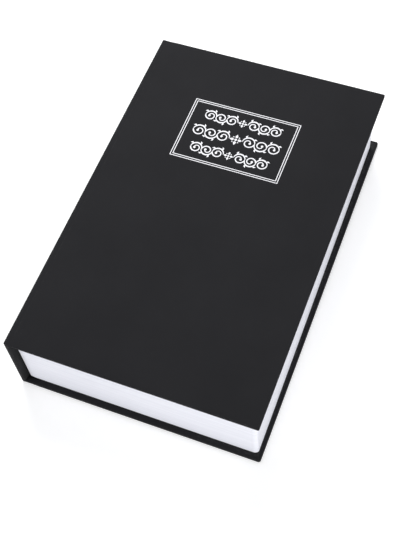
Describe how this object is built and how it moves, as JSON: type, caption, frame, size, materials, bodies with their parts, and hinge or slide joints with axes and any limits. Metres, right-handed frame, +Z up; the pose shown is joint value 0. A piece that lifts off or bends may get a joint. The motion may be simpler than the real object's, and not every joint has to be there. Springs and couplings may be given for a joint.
{
  "type": "book diversion safe",
  "caption": "Hardback book case whose front cover opens on a hinged, keyed steel box set inside a block of false pages.",
  "frame": {"origin": "middle of the underside of the back cover, on the surface that the book lies on", "axes": "+X from the spine to the fore edge, +Y from the tail to the head, +Z up through the front cover"},
  "size_m": [0.153, 0.24, 0.052],
  "materials": {
    "cover_cloth": "matt black fine-grained bookcloth",
    "greyboard": "pressed grey card",
    "black_paper": "matt black endpaper",
    "foil": "white stamped foil",
    "pages": "white plastic with fine page lines",
    "painted_steel": "black powder coat",
    "plated_steel": "bright zinc plate",
    "lock_chrome": "polished plate",
    "lock_brass": "turned brass",
    "key_steel": "nickel-plated key blank"
  },
  "bodies": {
    "book_case": {"back_cloth": "cover_cloth", "back_board": "greyboard", "back_endpaper": "black_paper", "back_joint_lining": "black_paper", "spine_cloth": "cover_cloth", "spine_board": "greyboard", "spine_lining": "black_paper", "spine_rule_1": "foil", "spine_rule_2": "foil", "spine_rule_3": "foil", "spine_rule_4": "foil", "page_surround": "pages", "box_tray": "painted_steel", "latch_strike": "plated_steel", "tray_rivet_1": "plated_steel", "tray_rivet_2": "plated_steel", "tray_rivet_3": "plated_steel", "tray_rivet_4": "plated_steel", "hinge_leaf_tray": "plated_steel", "hinge_pin": "plated_steel", "key_1": "key_steel", "key_2": "key_steel"},
    "front_cover": {"front_cloth": "cover_cloth", "front_board": "greyboard", "front_endpaper": "black_paper", "front_joint_lining": "black_paper", "title_rule_outer": "foil", "title_rule_inner": "foil", "title_ornament": "foil"},
    "inner_lid": {"box_lid": "painted_steel", "hinge_leaf_lid": "plated_steel", "lock_barrel": "lock_chrome", "lock_washer": "plated_steel", "lock_nut": "plated_steel"},
    "lock_cylinder": {"lock_plug": "lock_brass", "lock_cam": "plated_steel", "cam_screw": "plated_steel"}
  },
  "joints": [
    {"name": "cover_swing", "type": "hinge", "parent": "book_case", "child": "front_cover", "pos_m": [-0.074, 0, 0.05215], "axis": [0, -1, 0], "range_deg": [0, 178]},
    {"name": "lid_swing", "type": "hinge", "parent": "book_case", "child": "inner_lid", "pos_m": [-0.0682, 0, 0.0465], "axis": [0, -1, 0], "range_deg": [0, 95]},
    {"name": "lock_turn", "type": "hinge", "parent": "inner_lid", "child": "lock_cylinder", "pos_m": [0.05, 0, 0.0353], "axis": [0, 0, 1], "range_deg": [0, 90]}
  ],
  "couplings": [
    {"joint": "lid_swing", "follows": "cover_swing", "ratio": 0.5337}
  ]
}
